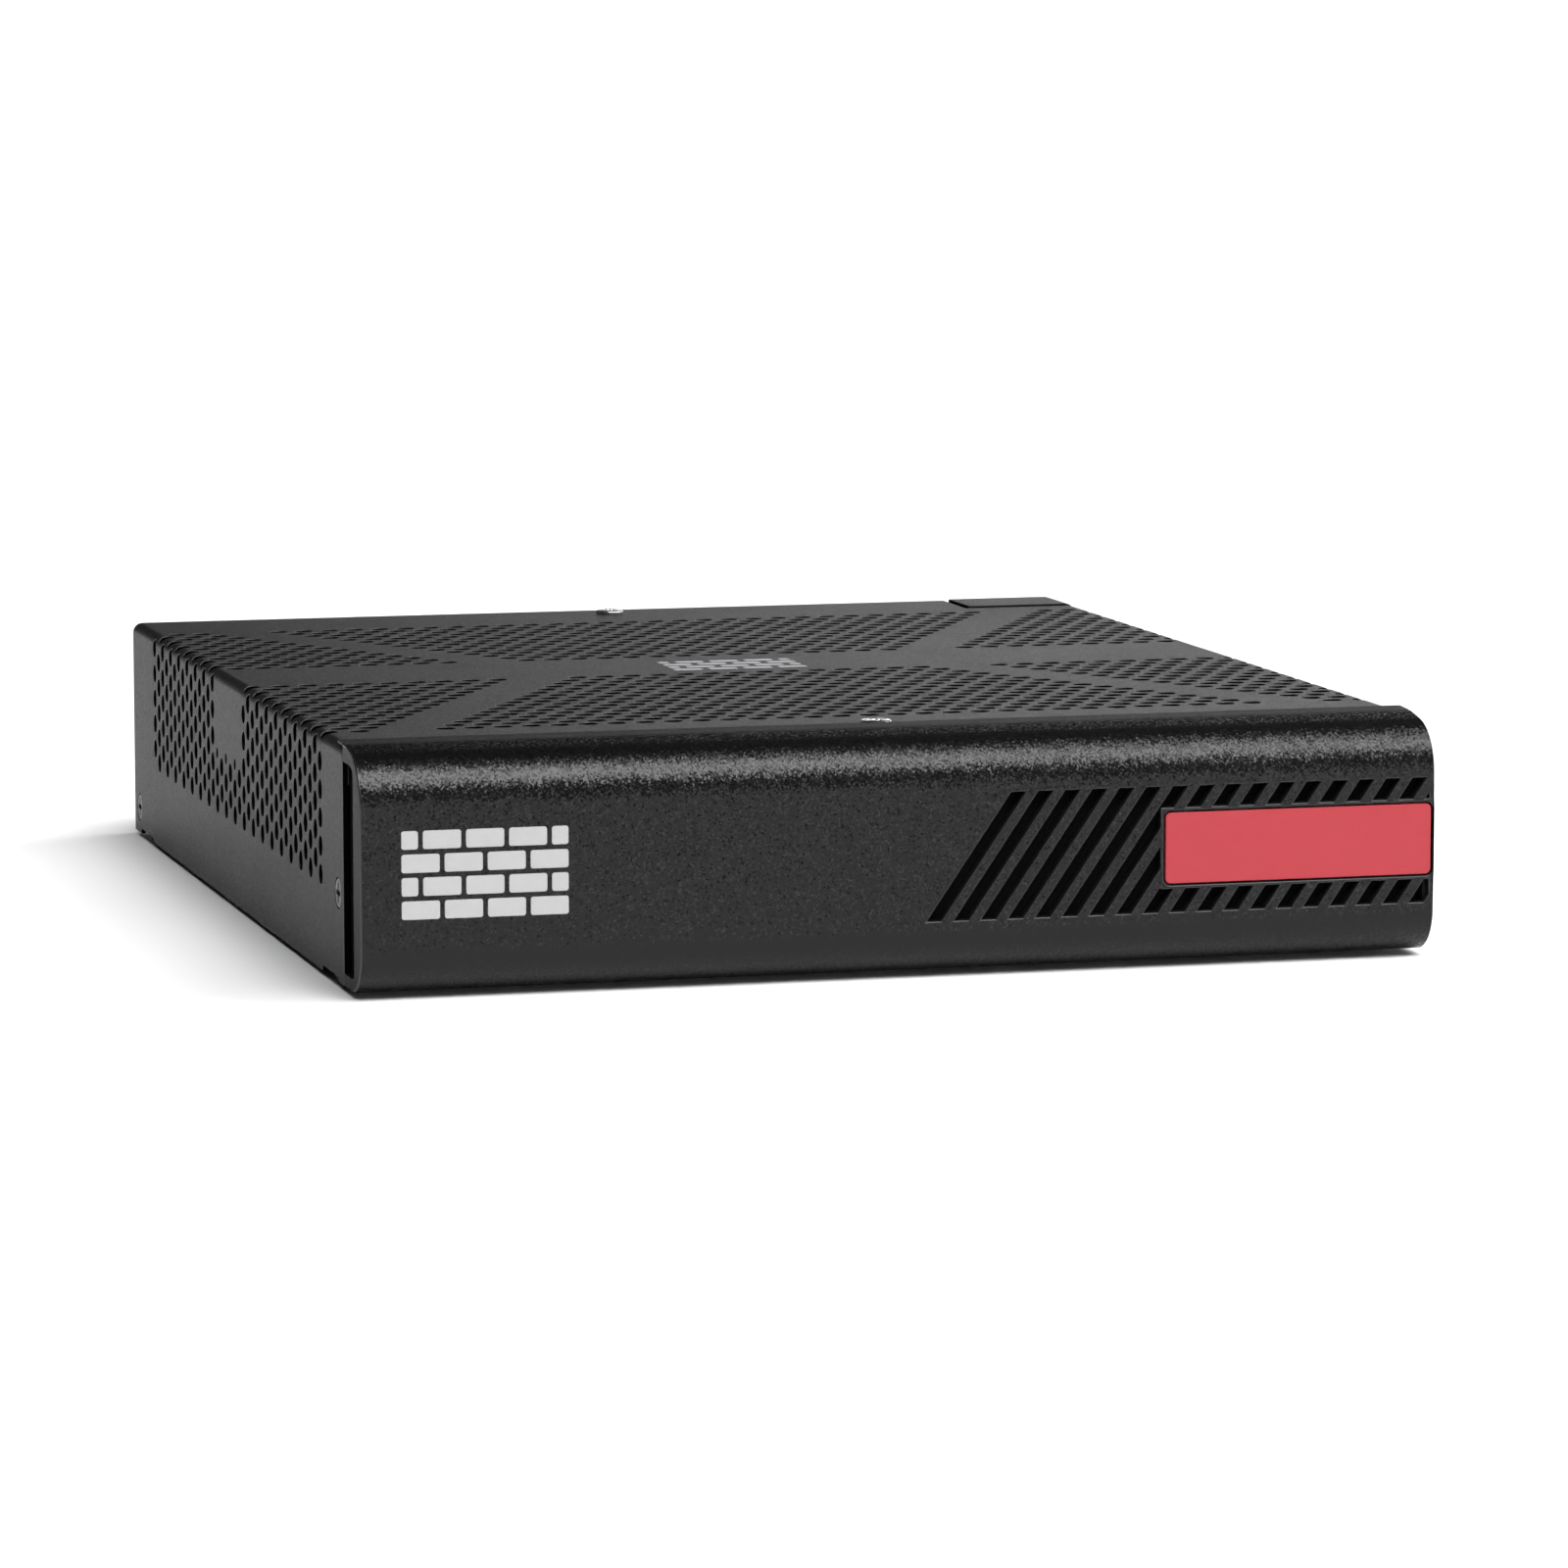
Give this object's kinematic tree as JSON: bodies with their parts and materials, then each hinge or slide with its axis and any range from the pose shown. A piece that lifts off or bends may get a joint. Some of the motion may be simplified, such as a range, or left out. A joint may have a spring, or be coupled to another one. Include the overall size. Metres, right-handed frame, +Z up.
{
  "type": "desktop firewall appliance",
  "caption": "Flat desktop network security box: perforated sheet-metal cover on a folded pan, curved moulded bezel with slanted grille, board with rear sockets inside.",
  "frame": {"origin": "centre of the footprint on the surface that the feet stand on", "axes": "+X to the right when facing the bezel, +Y from the bezel towards the rear connectors, +Z up"},
  "size_m": [0.2, 0.2344, 0.0447],
  "materials": {
    "painted_steel": "fine textured powder coat, dark charcoal",
    "bezel_plastic": "moulded black plastic with a fine sparkle texture",
    "label_red": "satin red",
    "foot_rubber": "matt",
    "zinc_steel": "zinc plated",
    "black_steel": "black zinc",
    "board_green": "solder mask",
    "sink_aluminium": "natural extruded",
    "chip_black": "moulded package",
    "chip_lid": "nickel plated lid",
    "pad_grey": "soft thermal pad",
    "socket_plastic": "moulded black nylon",
    "shell_nickel": "bright nickel plate",
    "contact_gold": "gold flash",
    "lamp_clear": "clear moulded light guide",
    "can_aluminium": "sleeved can",
    "ferrite_grey": "pressed ferrite"
  },
  "bodies": {
    "root": {"base_pan": "painted_steel", "board_screws": "zinc_steel", "board_standoffs": "zinc_steel", "capacitors": "can_aluminium", "coin_cell": "zinc_steel", "coin_cell_holder": "socket_plastic", "console_port_body": "socket_plastic", "console_port_contacts": "contact_gold", "console_port_lamps": "lamp_clear", "console_port_shell": "shell_nickel", "data_port_body": "socket_plastic", "data_port_contacts": "contact_gold", "data_port_lamps": "lamp_clear", "data_port_shell": "shell_nickel", "front_bezel": "bezel_plastic", "heat_sink": "sink_aluminium", "heat_sink_screws": "zinc_steel", "heat_sink_spacers": "zinc_steel", "inductors": "ferrite_grey", "label_plate": "label_red", "light_pipe": "lamp_clear", "lock_bracket": "painted_steel", "magnetics": "chip_black", "main_board": "board_green", "management_port_body": "socket_plastic", "management_port_contacts": "contact_gold", "management_port_lamps": "lamp_clear", "management_port_shell": "shell_nickel", "memory_chips": "chip_black", "mini_usb_shell": "shell_nickel", "mini_usb_tongue": "socket_plastic", "power_socket_body": "socket_plastic", "power_socket_pins": "contact_gold", "processor": "chip_lid", "reset_switch_body": "socket_plastic", "rubber_feet": "foot_rubber", "side_screws": "black_steel", "ssd_module": "chip_black", "ssd_posts": "zinc_steel", "ssd_screws": "zinc_steel", "ssd_socket": "socket_plastic", "status_lamps": "lamp_clear", "switch_chip": "chip_black", "thermal_pads": "pad_grey", "top_cover": "painted_steel", "top_screws": "zinc_steel", "usb_shell": "shell_nickel", "usb_tongue": "socket_plastic"},
    "reset_plunger": {"reset_button": "socket_plastic"}
  },
  "joints": [
    {"name": "reset_press", "type": "slide", "parent": "root", "child": "reset_plunger", "axis": [0, -1, 0], "range_m": [0, 0.0003], "stiffness_N_per_m": 500}
  ]
}
